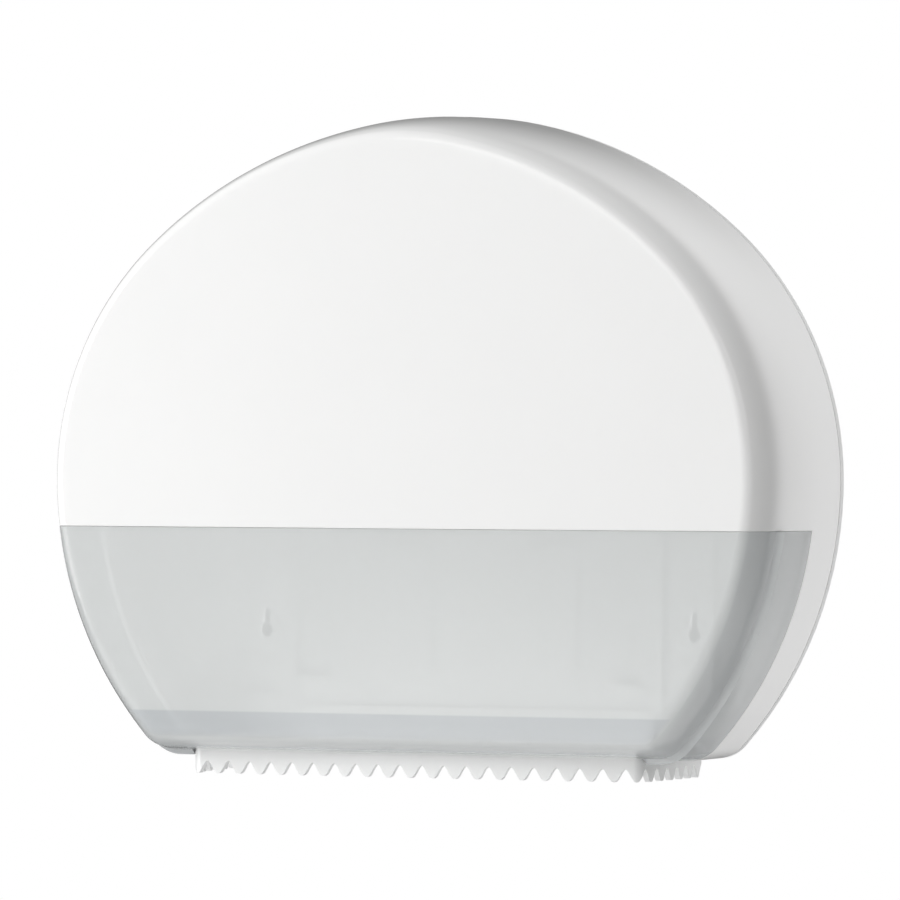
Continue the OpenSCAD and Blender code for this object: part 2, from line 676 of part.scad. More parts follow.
module cover_shell() {
    n = len(shell_levels);
    color(white) {
        difference() {
            union() {
                ring_shell(shell_levels, window_rise + seam / 2,
                    [for (j = [0 : n - 2]) [for (i = [0 : ring_n - 1])
                        shell_keeps(fold(i), mid(shell_levels, j))]],
                    [cut_i, ring_n - 2 * cut_i]);
                for (s = [-1, 1]) {
                    for (d = cover_screw_d)
                        upright(s * cover_screw_x, d, boss_r, bottom_rise(d) + cover_wall / 2, flange_rise);
                    upright(s * lock_screw_x, lock_out, boss_r, lock_flange_top,
                            top_rise(lock_out) - cover_wall / 2 - 1);
                }
            }
            for (s = [-1, 1]) {
                for (d = cover_screw_d)
                    upright(s * cover_screw_x, d, pilot_r, flange_rise - 5, flange_rise + 1);
                upright(s * lock_screw_x, lock_out, pilot_r, lock_flange_top - 1, lock_flange_top + 2.8);
            }
        }
    }
}

module cover_window() {
    n = len(window_levels);
    color(smoke)
        ring_shell(window_levels, window_rise - seam / 2,
            [for (j = [0 : n - 2]) [for (i = [0 : ring_n - 1])
                window_keeps(fold(i), mid(window_levels, j))]],
            [ring_n - cut_i, 2 * cut_i]);
}

// ---------- outlet frame and hinge ----------

module outlet_frame() {
    outer = skirt_line(skirt_t + rest_gap, frame_rear, true);
    inner = skirt_line(skirt_t + rest_gap + frame_t, frame_rear, false);
    side_x = outlet_half_w + frame_reach;
    pads = [cover_screw_d[0] - frame_pad, cover_screw_d[1] + frame_pad];
    color(white) difference() {
        union() {
            // rail inside the skirt
            translate([0, 0, 1 - key_rise]) linear_extrude(frame_top - 1)
                polygon(plan(concat(outer, backwards(inner), left_of(from_second(inner)),
                                    left_of(backwards(from_second(outer))))));
            // flange over the skirt and the cover's bottom
            difference() {
                block([-side_x, side_x], [pads[0], outlet_front + frame_lip], [flange_rise, frame_top]);
                translate([0, 0, flange_rise - 1 - key_rise]) linear_extrude(frame_t + 2)
                    polygon(plan(concat(inner, left_of(backwards(from_second(inner))))));
            }
            for (s = [-1, 1])
                block(s > 0 ? [skirt_wide, cover_screw_x + boss_r] : [-cover_screw_x - boss_r, -skirt_wide],
                      pads, [flange_rise, frame_top]);
            // knuckles beside the lugs of the back plate
            for (s = [-1, 1])
                translate([s > 0 ? hinge_half + lug_w / 2 + 0.4 : -frame_x, -hinge_out, hinge_rise - key_rise])
                    rotate([0, 90, 0]) cylinder(r = knuckle_r, h = frame_x - hinge_half - lug_w / 2 - 0.4);
        }
        for (s = [-1, 1]) {
            translate([s > 0 ? hinge_half : -frame_x - 1, -hinge_out, hinge_rise - key_rise])
                rotate([0, 90, 0]) cylinder(r = pin_r + 0.02, h = frame_x - hinge_half + 1);
            for (d = cover_screw_d)
                upright(s * cover_screw_x, d, screw_r + 0.3, flange_rise - 1, frame_top + 1);
        }
    }
}

module frame_screws() {
    color(steel)
        for (s = [-1, 1], d = cover_screw_d) {
            upright(s * cover_screw_x, d, screw_r, flange_rise - 4.6, frame_top + eps);
            difference() {
                upright(s * cover_screw_x, d, screw_head_r, frame_top, frame_top + screw_head_h);
                block([s * cover_screw_x - 2, s * cover_screw_x + 2], [d - 0.4, d + 0.4],
                      [frame_top + screw_head_h - 0.8, frame_top + screw_head_h + 1]);
            }
        }
}

module hinge_pins() {
    pin_l = frame_x - hinge_half + lug_w / 2 + 0.4;
    color(steel)
        for (s = [-1, 1]) mirror([s > 0 ? 0 : 1, 0, 0])
            translate([hinge_half - lug_w / 2 - 0.4, -hinge_out, hinge_rise - key_rise]) rotate([0, 90, 0]) {
                cylinder(r = pin_r, h = pin_l);
                translate([0, 0, -1]) cylinder(r = pin_r + 1, h = 1);
            }
}

// ---------- tear skirt ----------

skirt_half_l = half_pitches * tooth_pitch;
tooth_steps = 8;                     // sections per tooth
flange_t = 1.2;                      // thickness of the scalloped flange
flange_out = 1.9;                    // middle reach of the scallops
flange_wave = 1.1;                   // half height of the scallops

// point [x, depth] and outward direction at the distance s from the middle along the skirt
function skirt_at(s) =
    let (past = s - front_l, beyond = past - corner_l,
         t = past < 0 ? s / skirt_front_r * 180 / PI
           : beyond < 0 ? front_turn + past / skirt_corner_r * 180 / PI
           : skirt_lead + beyond / skirt_side_r * 180 / PI,
         c = past < 0 ? front_c : beyond < 0 ? corner_c : flank_c,
         r = past < 0 ? skirt_front_r : beyond < 0 ? skirt_corner_r : skirt_side_r)
    [c + r * outward(t), outward(t)];

function tooth_rise(s) =
    -tooth_drop + tooth_h * pow((1 - cos(360 * s / tooth_pitch)) / 2, tooth_power);

function skirt_section(s) =
    let (side = s < 0 ? -1 : 1,
         at = skirt_at(abs(s)),
         wave = flange_out + flange_wave * cos(360 * s / tooth_pitch),
         profile = [[0, tooth_rise(s)], [0, flange_rise - flange_t], [wave, flange_rise - flange_t],
                    [wave, flange_rise], [-skirt_t, flange_rise], [-skirt_t, tooth_rise(s)]])
    [for (p = profile)
        let (q = at[0] + p[0] * at[1]) [side * q[0], -q[1], p[1] - key_rise]];

module tear_skirt() {
    n = round(2 * half_pitches * tooth_steps);
    step = 2 * skirt_half_l / n;
    pts = [for (i = [0 : n]) each skirt_section(-skirt_half_l + i * step)];
    sides = [for (i = [0 : n - 1]) for (k = [0 : 5])
        let (a = 6 * i + k, b = 6 * i + (k + 1) % 6)
        each [[a, b, b + 6], [a, b + 6, a + 6]]];
    color(white) polyhedron(pts, concat([[0, 5, 4, 3, 2, 1]], sides, [[for (k = [0 : 5]) 6 * n + k]]),
                            convexity = 10);
}

// ---------- lock ----------

module lock_housing() {
    color(white) difference() {
        union() {
            block([-lock_half_w + 0.25, lock_half_w - 0.25], [lock_rear + 0.25, lock_front - 0.25],
                  [lock_flange_bottom, bezel_top]);
            block([-lock_flange_w, lock_flange_w], [lock_out - lock_flange_d, lock_out + lock_flange_d],
                  [lock_flange_bottom, lock_flange_top]);
            upright(0, lock_out, barrel_r + 2.2, sleeve_end, lock_flange_top);
        }
        upright(0, lock_out, barrel_r + run_gap, sleeve_end - 1, bezel_top + 1);
        upright(0, lock_out, barrel_r + 1.8, bezel_top - 2.1, bezel_top + 1);
        for (s = [-1, 1])
            upright(s * lock_screw_x, lock_out, screw_r + 0.3, lock_flange_bottom - 1, lock_flange_top + 1);
    }
}

module lock_screws() {
    color(steel)
        for (s = [-1, 1]) {
            upright(s * lock_screw_x, lock_out, screw_r, lock_flange_bottom - eps, lock_flange_top + 2.4);
            difference() {
                upright(s * lock_screw_x, lock_out, screw_head_r,
                        lock_flange_bottom - screw_head_h, lock_flange_bottom);
                block([s * lock_screw_x - 2, s * lock_screw_x + 2], [lock_out - 0.4, lock_out + 0.4],
                      [lock_flange_bottom - screw_head_h - 1, lock_flange_bottom - screw_head_h + 0.8]);
            }
        }
}

module lock_barrel() {
    color(grey) difference() {
        union() {
            upright(0, lock_out, barrel_r + 1.5, bezel_top - 2, bezel_top - 0.3);
            upright(0, lock_out, barrel_r, barrel_end, bezel_top - 1);
            upright(0, lock_out, barrel_r - 2, cam_bottom + 0.1, barrel_end + eps);
        }
        // key slot
        block([-0.9, 0.9], [lock_out - 3.6, lock_out + 3.6], [bezel_top - 8, bezel_top + 1]);
        upright(0, lock_out, pilot_r, cam_bottom - 1, cam_bottom + cam_screw_l + 1);
    }
}

module lock_cam() {
    color(steel) difference() {
        union() {
            upright(0, lock_out, cam_w / 2 + 1.5, cam_bottom, barrel_end);
            block([-cam_w / 2, cam_w / 2], [lock_out - cam_l, lock_out], [cam_bottom, barrel_end]);
        }
        upright(0, lock_out, barrel_r - 2 + 0.02, cam_bottom - 1, barrel_end + 1);
    }
}

module lock_cam_screw() {
    color(steel) {
        upright(0, lock_out, screw_r, cam_bottom - eps, cam_bottom + cam_screw_l);
        upright(0, lock_out, barrel_r - 1, cam_bottom - screw_head_h, cam_bottom);
    }
}

module keeper_bracket() {
    color(steel) difference() {
        union() {
            block([keeper_screw_x[0] - 5, keeper_screw_x[1] + 5], [plate_t, plate_t + cam_t],
                  [keeper_bottom - keeper_base_h, keeper_top]);
            block(keeper_x, [plate_t, keeper_lip[1]], [keeper_bottom, keeper_top]);
            block(keeper_x, keeper_lip, [keeper_bottom, barrel_end]);
        }
        for (x = keeper_screw_x) post(x, keeper_screw_rise, screw_r + 0.3, 0, plate_t + cam_t + 1);
    }
}

module keeper_screws() {
    color(steel) for (x = keeper_screw_x) plate_screw(x, keeper_screw_rise, plate_t + cam_t);
}

back_plate();
keeper_bracket();
keeper_screws();
main_spindle();
main_spindle_screws();
main_brake_washer();
main_axle_cap();
main_cap_screw();
stub_spindle();
stub_spindle_screws();
stub_brake_washer();
stub_axle_cap();
stub_cap_screw();
main_hub();
stub_hub();
cover_shell();
cover_window();
outlet_frame();
frame_screws();
hinge_pins();
tear_skirt();
lock_housing();
lock_screws();
lock_barrel();
lock_cam();
lock_cam_screw();
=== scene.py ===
# %% [markdown]
# # Jumbo toilet roll dispenser
# A wall dispenser for one large roll of toilet paper and the rest of the one before it. Its cover
# is a domed white shell with a smoky window across the bottom, and a toothed skirt hangs under it
# to tear the paper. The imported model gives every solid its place, and this file dresses it: finer
# moulded shapes for what is seen, a finish for each material, a camera and soft light.

# %% Load the frame
import json
from collections import namedtuple
from math import acos, asin, atan2, cos, hypot, pi, radians, sin, sqrt, tan

import bpy
from mathutils import Matrix, Vector


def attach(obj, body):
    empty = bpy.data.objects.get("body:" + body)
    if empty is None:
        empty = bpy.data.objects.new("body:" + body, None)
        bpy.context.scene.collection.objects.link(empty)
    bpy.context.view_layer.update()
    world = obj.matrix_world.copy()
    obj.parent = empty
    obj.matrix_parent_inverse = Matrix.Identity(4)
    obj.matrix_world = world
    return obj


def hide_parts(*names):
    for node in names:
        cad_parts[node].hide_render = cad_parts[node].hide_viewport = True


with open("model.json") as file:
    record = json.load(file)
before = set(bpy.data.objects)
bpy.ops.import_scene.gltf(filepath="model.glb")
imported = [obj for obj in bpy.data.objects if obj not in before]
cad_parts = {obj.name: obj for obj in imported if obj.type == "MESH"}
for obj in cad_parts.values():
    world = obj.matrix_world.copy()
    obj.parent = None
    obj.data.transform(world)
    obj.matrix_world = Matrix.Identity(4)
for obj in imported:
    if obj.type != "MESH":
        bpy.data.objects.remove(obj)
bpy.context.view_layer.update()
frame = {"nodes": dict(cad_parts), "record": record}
MM = 0.001


# %% [markdown]
# ## Camera
# The dispenser is looked at from the front right, level with its middle, through a long lens, so
# that the far side hardly shrinks. The camera is set first, because every finish is judged from
# here. A tiny roll is part of how the camera was held.

# %% Camera
KEY_RISE = 69.0              # rise of the keyholes above the bottom edge; the frame's origin
AIM_DEPTH, AIM_RISE = 66.0, 180.0
AIM = Vector((0, -AIM_DEPTH, AIM_RISE - KEY_RISE)) * MM
AZIMUTH = radians(21.638)
ELEVATION = radians(-0.272)
ROLL = radians(-0.306)
DISTANCE = 3925.3 * MM
SENSOR_MM = 36
FRAME_PX = 900               # width of the frame in which the next two are measured
FOCAL_PX = 6971.3
SHIFT_PX = (-11.88, -12.55)  # where the aim falls, right of and below the middle of the frame
FARTHEST = 50                # metres that the camera can see

forward = Vector((-sin(AZIMUTH) * cos(ELEVATION), cos(AZIMUTH) * cos(ELEVATION), -sin(ELEVATION)))
level_right = Vector((cos(AZIMUTH), sin(AZIMUTH), 0))
level_up = level_right.cross(forward)
right = level_right * cos(ROLL) - level_up * sin(ROLL)
up = level_up * cos(ROLL) + level_right * sin(ROLL)

camera = bpy.data.objects.new("camera", bpy.data.cameras.new("camera"))
bpy.context.scene.collection.objects.link(camera)
camera.data.sensor_width = SENSOR_MM
camera.data.lens = FOCAL_PX * SENSOR_MM / FRAME_PX
camera.data.shift_x = -SHIFT_PX[0] / FRAME_PX
camera.data.shift_y = SHIFT_PX[1] / FRAME_PX
camera.data.clip_end = FARTHEST
turned = Matrix((right, up, -forward)).transposed().to_4x4()
camera.matrix_world = Matrix.Translation(AIM - forward * DISTANCE) @ turned
bpy.context.scene.camera = camera
print("lens", round(camera.data.lens, 1), "mm")

# %% [markdown]
# ## Outline of the body
# Seen from the front, the body is a chain of arcs that touch: bottom corner, long side, shoulder,
# brow and top. Each point is found from its direction of travel, 0 along the bottom, 90 up the
# side and 180 back along the top, so that offsets stay smooth across the joins.

# %% Outline values
# All in millimetres. A rise is a height above the bottom edge.
HALF_W = 218.5
BODY_H = 362.8
BODY_D = 133.0
WIDEST = 156.3               # rise of the widest place
SIDE_R = 222.7               # long arc below the widest place
SHOULDER_R = 190.9           # arc above it
BROW_R = 256.4
SHOULDER_TURN = radians(137.6)
BROW_TURN = radians(169.4)
CORNER_R = 21.5              # bottom corners at the wall
FACE_CORNER_R = 8.0          # bottom corners round the face


def along(turn):
    """Outward normal of the outline where it travels in this direction."""
    return Vector((sin(turn), -cos(turn)))


side_c = Vector((HALF_W - SIDE_R, WIDEST))
shoulder_c = Vector((HALF_W - SHOULDER_R, WIDEST))
brow_c = shoulder_c - (BROW_R - SHOULDER_R) * along(SHOULDER_TURN)
TOP_R = BROW_R + brow_c.x / sin(BROW_TURN)
top_c = brow_c + (BROW_R - TOP_R) * along(BROW_TURN)
STRETCH = (BODY_H - WIDEST) / (top_c.y + TOP_R - WIDEST)
print("top arc", round(TOP_R, 1), "mm")


def side_point(inward, inward_top, inward_bottom, turn):
    """Point of the outline moved inward, by other amounts towards its top and bottom."""
    if turn < pi / 2:
        centre, radius = side_c, SIDE_R
    elif turn < SHOULDER_TURN:
        centre, radius = shoulder_c, SHOULDER_R
    elif turn < BROW_TURN:
        centre, radius = brow_c, BROW_R
    else:
        centre, radius = top_c, TOP_R
    end = inward_bottom if turn < pi / 2 else inward_top
    point = centre + (radius - inward - (end - inward) * cos(turn) ** 2) * along(turn)
    if point.y > WIDEST:
        point.y = WIDEST + STRETCH * (point.y - WIDEST)
    return point


def turn_at(inward, rise):
    """Direction of travel at which the moved outline reaches a rise below the widest place."""
    return acos((WIDEST - rise) / (SIDE_R - inward))


# %% [markdown]
# ## Depth of the cover
# From the side, the cover leaves the wall nearly square and rounds over a long way into the face,
# sharpest just before it. A superellipse with a power a little over 2 gives that, and its last
# few millimetres are an arc, so that the face has a soft edge and no crease. The bottom wall
# stays flat for longer and then curls up faster than the sides turn in. The face itself has a
# slight crown, which is what makes the reflections on it run softly.

# %% Edge of the face
EDGE_IN, EDGE_DEPTH, EDGE_POWER = 14.0, 98.0, 2.2
EDGE_END = 0.965             # share of the edge's depth at which the arc takes over
CROWN, CROWN_REACH = 4.0, 180.0
EDGE_START = BODY_D - CROWN - EDGE_DEPTH
NUDGE = 0.001                # half of the share over which the superellipse's slope is measured


def edge_in(share):
    """Inward move at this share of the edge's depth, along the superellipse."""
    return EDGE_IN * (1 - (1 - share ** EDGE_POWER) ** (1 / EDGE_POWER))


moved_in = edge_in(EDGE_END + NUDGE) - edge_in(EDGE_END - NUDGE)
BEND_TURN = atan2(moved_in, 2 * NUDGE * EDGE_DEPTH)
BEND_R = EDGE_DEPTH * (1 - EDGE_END) / (1 - sin(BEND_TURN))
FACE_IN = edge_in(EDGE_END) + BEND_R * cos(BEND_TURN)
print("last bend", round(BEND_R, 1), "mm; face", round(FACE_IN, 1), "mm in")

# %% Walls of the cover
WALL = 2.6
SIDE_DRAFT, TOP_DRAFT = 0.7, 3.2
BOTTOM_SHARE, CURL_FROM, CURL_RATE, CURL_SOFT = 0.67, 7.7, 1.9, 1.5
RIM_D, RIM_GAP = 5.0, 0.8    # rim of the back plate, and the gap in front of it
Ring = namedtuple("Ring", "depth side top bottom corner scale")


def bottom_in(inward):
    """Inward move of the bottom wall where the sides move inward by this much."""
    bend = hypot(inward - CURL_FROM, CURL_SOFT) - hypot(CURL_FROM, CURL_SOFT)
    return BOTTOM_SHARE * inward + CURL_RATE / 2 * (inward + bend)


def level(depth, inward, scale=1.0):
    """One ring: depth from the wall, moves in at the sides, top and bottom, corner, scale."""
    share_of_face = (1 - inward / CROWN_REACH) * scale
    deep = depth + CROWN * (1 - share_of_face ** 2)
    share = (deep - RIM_D) / (BODY_D - RIM_D)
    corner = CORNER_R + (FACE_CORNER_R - CORNER_R) * inward / FACE_IN
    return Ring(deep, inward + SIDE_DRAFT * share, inward + TOP_DRAFT * share,
                bottom_in(inward) + SIDE_DRAFT * share, corner, scale)


def level_at(depth):
    """The ring at this depth before crowning."""
    return level(depth, edge_in(min(1, max(0, (depth - EDGE_START) / EDGE_DEPTH))))


print("bottom wall", round(bottom_in(FACE_IN), 1), "mm up at the face")

# %% Rings of the cover
# Rings lie evenly along the side wall and most of the edge, then by angle round the last bend,
# and by scale across the face. The stops are sorted in among the side wall's rings only. The
# window's stop lies past them, so its skin runs back there before it goes on, and its inner
# face comes out through the outer one by nearly a wall's thickness, as a thin ridge. That is a
# fault which this version still has: edge rings up to the last stop should be left out.
PLAIN_STEPS, EDGE_STEPS, BEND_STEPS = 14, 10, 14
WALL_SHARE = 0.6             # share of the edge's depth that counts as side wall
STOP_ROOM = 1.2              # no even ring lies closer to a stop than this
CAP_SCALES = (0.985, 0.96, 0.93, 0.88, 0.8, 0.7, 0.55, 0.4, 0.2)


def levels_from(start, stops):
    """All rings from a depth to the middle of the face, with rings at the stops."""
    wall_end = EDGE_START + WALL_SHARE * EDGE_DEPTH
    depths = [start + (wall_end - start) * i / PLAIN_STEPS for i in range(PLAIN_STEPS + 1)]
    clear = [d for d in depths if all(abs(d - s) > STOP_ROOM for s in stops)]
    rings = [level_at(d) for d in sorted(clear + stops)]
    for i in range(1, EDGE_STEPS + 1):
        rings.append(level_at(wall_end + (EDGE_END - WALL_SHARE) * EDGE_DEPTH * i / EDGE_STEPS))
    bend_start = EDGE_START + EDGE_DEPTH * EDGE_END
    for i in range(1, BEND_STEPS + 1):
        a = BEND_TURN + (pi / 2 - BEND_TURN) * i / BEND_STEPS
        rings.append(level(bend_start + BEND_R * (sin(a) - sin(BEND_TURN)),
                           edge_in(EDGE_END) + BEND_R * (cos(BEND_TURN) - cos(a))))
    return rings + [level(BODY_D - CROWN, FACE_IN, k) for k in CAP_SCALES]


def inner_levels(rings):
    """The rings of the inner face, one wall further in along the normal."""
    made = []
    for j, ring in enumerate(rings):
        before, after = rings[max(0, j - 1)], rings[min(len(rings) - 1, j + 1)]
        if ring.scale < 1 or after.scale < 1:
            made.append(ring._replace(depth=ring.depth - WALL))
            continue
        run = after.depth - before.depth
        a = atan2(after.side - before.side, run)
        b = atan2(after.bottom - before.bottom, run)
        move, lift = WALL * cos(a), WALL * (1 - sin(a) * sin(b)) / cos(b)
        made.append(Ring(ring.depth - WALL * sin(a), ring.side + move, ring.top + move,
                         ring.bottom + lift, ring.corner - move, ring.scale))
    return made


print("rings of edge and face:", EDGE_STEPS + BEND_STEPS + len(CAP_SCALES))

# %% [markdown]
# ## Plan of the tear skirt
# The outlet in the bottom of the cover is just wide enough for the skirt that hangs through it,
# so the skirt's path is worked out before the shell is cut. It is a slightly bowed front, a
# small corner and a long, nearly straight flank.

# %% Plan of the skirt
SKIRT_OUT = 105.8            # depth of the middle of the skirt's front
SKIRT_HALF_W, SKIRT_FRONT_R, SKIRT_CORNER_R = 135.2, 1380.0, 5.9
SKIRT_LEAD, SKIRT_SIDE_R = radians(80.8), 402.0
PITCH, HALF_PITCHES = 13.24, 16.5
OUTLET_GAP = 0.5
OUTLET_FRONT = SKIRT_OUT + 1


def outward(turn):
    """Direction (x, depth) in which the skirt faces, 0 at its front and 90 degrees at its side."""
    return Vector((sin(turn), cos(turn)))


FRONT_TURN = asin((SKIRT_HALF_W - SKIRT_CORNER_R) / (SKIRT_FRONT_R - SKIRT_CORNER_R))
FRONT_L = SKIRT_FRONT_R * FRONT_TURN
CORNER_L = SKIRT_CORNER_R * (SKIRT_LEAD - FRONT_TURN)
HALF_L = HALF_PITCHES * PITCH
front_c = Vector((0, SKIRT_OUT - SKIRT_FRONT_R))
corner_c = front_c + (SKIRT_FRONT_R - SKIRT_CORNER_R) * outward(FRONT_TURN)
flank_c = corner_c - (SKIRT_SIDE_R - SKIRT_CORNER_R) * outward(SKIRT_LEAD)
end_turn = SKIRT_LEAD + (HALF_L - FRONT_L - CORNER_L) / SKIRT_SIDE_R
SKIRT_REAR = (flank_c + SKIRT_SIDE_R * outward(end_turn)).y
print("skirt from", round(SKIRT_REAR, 1), "to", SKIRT_OUT, "mm deep")


def outlet_x(depth):
    """Half-width of the outlet at this depth, a hair wider than the skirt."""
    flank = min(max(depth, SKIRT_REAR), SKIRT_OUT - SKIRT_CORNER_R)
    return flank_c.x + sqrt(SKIRT_SIDE_R ** 2 - (flank - flank_c.y) ** 2) + OUTLET_GAP


# %% [markdown]
# ## Building a shell from rings
# Shell and window are cut from one skin, so both are made by the same helpers: rings of points
# stacked from the wall to the face, a rule that says which cells are kept, and a wall closed
# along every cut. A bevel modifier then softens the cut edges, as a mould does.

# %% Points of a ring
LOCK_HALF_W = 11.5
CORNER_STEPS, LOWER_STEPS, UPPER_STEPS, LOCK_STEPS = 10, 22, 84, 4
CUT_I = 2 + CORNER_STEPS + LOWER_STEPS
LOCK_I = CUT_I + UPPER_STEPS
HALF_N = LOCK_I + LOCK_STEPS
RING_N = 2 * HALF_N
JOIN_GUESS, JOIN_ROUNDS = radians(50), 4


def join_turn(ring):
    """Direction of travel at which the bottom corner meets the side arc."""
    turn = JOIN_GUESS
    for _ in range(JOIN_ROUNDS):
        reach = SIDE_R - ring.corner - ring.side - (ring.bottom - ring.side) * cos(turn) ** 2
        turn = acos((WIDEST - ring.bottom - ring.corner) / reach)
    return turn


def ring_points(ring, cut):
    """Points of one ring, counted from the bottom middle up the right side and round."""
    turn = join_turn(ring)
    middle_rise = ring.bottom + ring.corner
    corner_middle = Vector((side_c.x + (WIDEST - middle_rise) * tan(turn), middle_rise))
    cut_turn = turn_at(ring.side, cut)
    lock_turn = pi - asin(LOCK_HALF_W / (TOP_R - ring.top))
    half = [Vector((0, ring.bottom)), Vector((outlet_x(ring.depth), ring.bottom))]
    half += [corner_middle + ring.corner * along(turn * i / CORNER_STEPS)
             for i in range(CORNER_STEPS + 1)]
    for start, end, steps in ((turn, cut_turn, LOWER_STEPS), (cut_turn, lock_turn, UPPER_STEPS),
                              (lock_turn, pi, LOCK_STEPS)):
        half += [side_point(ring.side, ring.top, ring.bottom, start + (end - start) * i / steps)
                 for i in range(1, steps + 1)]
    half = [(p.x * ring.scale, cut + (p.y - cut) * ring.scale) for p in half]
    whole = half + [(-x, z) for x, z in half[-2:0:-1]]
    return [Vector((x, -ring.depth, z - KEY_RISE)) * MM for x, z in whole]


print("points in a ring:", RING_N)

# %% A new piece
SHARP_TURN, BEVEL_TURN, BEVEL_STEPS = radians(35), radians(50), 2


def new_piece(name, points, faces, material, body, slot, bevel):
    """A mesh object on a body, smooth but for its sharp edges, which get a bevel."""
    mesh = bpy.data.meshes.new(name)
    mesh.from_pydata(points, [], faces)
    mesh.validate()
    mesh.shade_smooth()
    mesh.set_sharp_from_angle(angle=SHARP_TURN)
    mesh.materials.append(material)
    piece = bpy.data.objects.new(name, mesh)
    bpy.context.scene.collection.objects.link(piece)
    rounding = piece.modifiers.new("edge rounding", "BEVEL")
    rounding.width = bevel * MM
    rounding.segments = BEVEL_STEPS
    rounding.limit_method = "ANGLE"
    rounding.angle_limit = BEVEL_TURN
    rounding.harden_normals = True
    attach(piece, body)
    print(name, len(points), "points")
    return piece


# %% Mesh of a shell
def shell_mesh(rings, cut, keeps, cap):
    """Points and faces of a shell, cut at a rise of its outline.

    keeps(column, depth) says which cells are kept. cap, the first column and the number of
    cells after it, is the arc of the last ring that closes the middle of the face.
    """
    n = len(rings)
    points = [p for r in rings for p in ring_points(r, cut)]
    m = len(points)  # where the points of the inner face start
    points += [p for r in inner_levels(rings) for p in ring_points(r, cut)]
    column_of = [i if i < HALF_N else RING_N - 1 - i for i in range(RING_N)]
    kept = [[keeps(column_of[i], (rings[j].depth + rings[j + 1].depth) / 2) for i in range(RING_N)]
            for j in range(n - 1)]

    def has(i, j):
        return 0 <= j < n - 1 and kept[j][i % RING_N]

    def at(i, j):
        return j * RING_N + i % RING_N

    faces = []
    for j in range(n - 1):
        for i in range(RING_N):
            if not has(i, j):
                continue
            a, b, c, d = at(i, j), at(i + 1, j), at(i + 1, j + 1), at(i, j + 1)
            faces += [(a, b, c, d), (m + a, m + d, m + c, m + b)]
            if not has(i - 1, j):
                faces.append((a, d, m + d, m + a))
            if not has(i + 1, j):
                faces.append((b, m + b, m + c, c))
            if not has(i, j - 1):
                faces.append((a, m + a, m + b, b))
            if not has(i, j + 1) and j < n - 2:
                faces.append((c, m + c, m + d, d))
    rim = [at(cap[0] + i, n - 1) for i in range(cap[1] + 1)]
    faces += [rim, [m + k for k in reversed(rim)], (rim[-1], rim[0], m + rim[0], m + rim[-1])]
    used = sorted({k for face in faces for k in face})
    place = {k: i for i, k in enumerate(used)}
    return [points[k] for k in used], [[place[k] for k in face] for face in faces]


# %% [markdown]
# ## White moulded plastic
# The shell is a glossy white plastic. Real mouldings are never one flat colour: the gloss
# wanders a little and the skin has a faint ripple. Noise in the colour, roughness and bump of a
# Principled shader gives that at two scales, all so slight that only the reflections show it.

# %% Plastic
CLOUD_SCALE, CLOUD_DETAIL, SKIN_DETAIL, SKIN_STRENGTH = 14.0, 3.0, 2.0, 0.35
# How far colour and gloss move, as shares of a plastic's wander
COLOUR_DROP, COLOUR_RISE, GLOSS_SWING = 0.25, 0.125, 3.0


def add_node(tree, kind, **inputs):
    """A shader node with its sockets set by name."""
    node = tree.nodes.new(kind)
    for key, value in inputs.items():
        node.inputs[key.replace("_", " ")].default_value = value
    return node


def plastic(name, colour, roughness, grain=900.0, relief=0.010, wander=0.04, **sockets):
    """A moulded plastic: slightly uneven colour and gloss, and a fine skin texture."""
    material = bpy.data.materials.new(name)
    material.use_nodes = True
    tree = material.node_tree
    shader = tree.nodes["Principled BSDF"]
    for key, value in sockets.items():
        shader.inputs[key.replace("_", " ")].default_value = value
    where = tree.nodes.new("ShaderNodeTexCoord")
    cloud = add_node(tree, "ShaderNodeTexNoise", Scale=CLOUD_SCALE, Detail=CLOUD_DETAIL)
    tree.links.new(where.outputs["Object"], cloud.inputs["Vector"])
    tint = tree.nodes.new("ShaderNodeMix")
    tint.data_type = "RGBA"
    tint.inputs["A"].default_value = [c * (1 - wander * COLOUR_DROP) for c in colour] + [1]
    lighter = [min(1, c * (1 + wander * COLOUR_RISE)) for c in colour]
    tint.inputs["B"].default_value = lighter + [1]
    tree.links.new(cloud.outputs["Fac"], tint.inputs["Factor"])
    tree.links.new(tint.outputs["Result"], shader.inputs["Base Color"])
    gloss = tree.nodes.new("ShaderNodeMapRange")
    gloss.inputs["To Min"].default_value = roughness * (1 - wander * GLOSS_SWING)
    gloss.inputs["To Max"].default_value = roughness * (1 + wander * GLOSS_SWING)
    tree.links.new(cloud.outputs["Fac"], gloss.inputs["Value"])
    tree.links.new(gloss.outputs["Result"], shader.inputs["Roughness"])
    skin = add_node(tree, "ShaderNodeTexNoise", Scale=grain, Detail=SKIN_DETAIL)
    tree.links.new(where.outputs["Object"], skin.inputs["Vector"])
    bump = add_node(tree, "ShaderNodeBump", Strength=SKIN_STRENGTH, Distance=relief * MM)
    tree.links.new(skin.outputs["Fac"], bump.inputs["Height"])
    tree.links.new(bump.outputs["Normal"], shader.inputs["Normal"])
    return material


white_gloss = plastic("white gloss plastic", (0.90, 0.90, 0.895), 0.16, grain=500, relief=0.004)
white_satin = plastic("white satin plastic", (0.88, 0.885, 0.88), 0.34, grain=1400, relief=0.02)
print("plastics:", white_gloss.name, "and", white_satin.name)

# %% [markdown]
# ## The white shell
# The upper part of the cover, its rear band and the band round the lock are one moulding. It is
# made from the rings above, cut along the window's two edges.

# %% White shell
WINDOW_RISE, WINDOW_BACK, SEAM = 129.0, 49.0, 0.15
LOCK_OUT, LOCK_HALF_D = 49.0, 9.0
EDGE_BEVEL = 0.3
lock_rear, lock_front = LOCK_OUT - LOCK_HALF_D, LOCK_OUT + LOCK_HALF_D


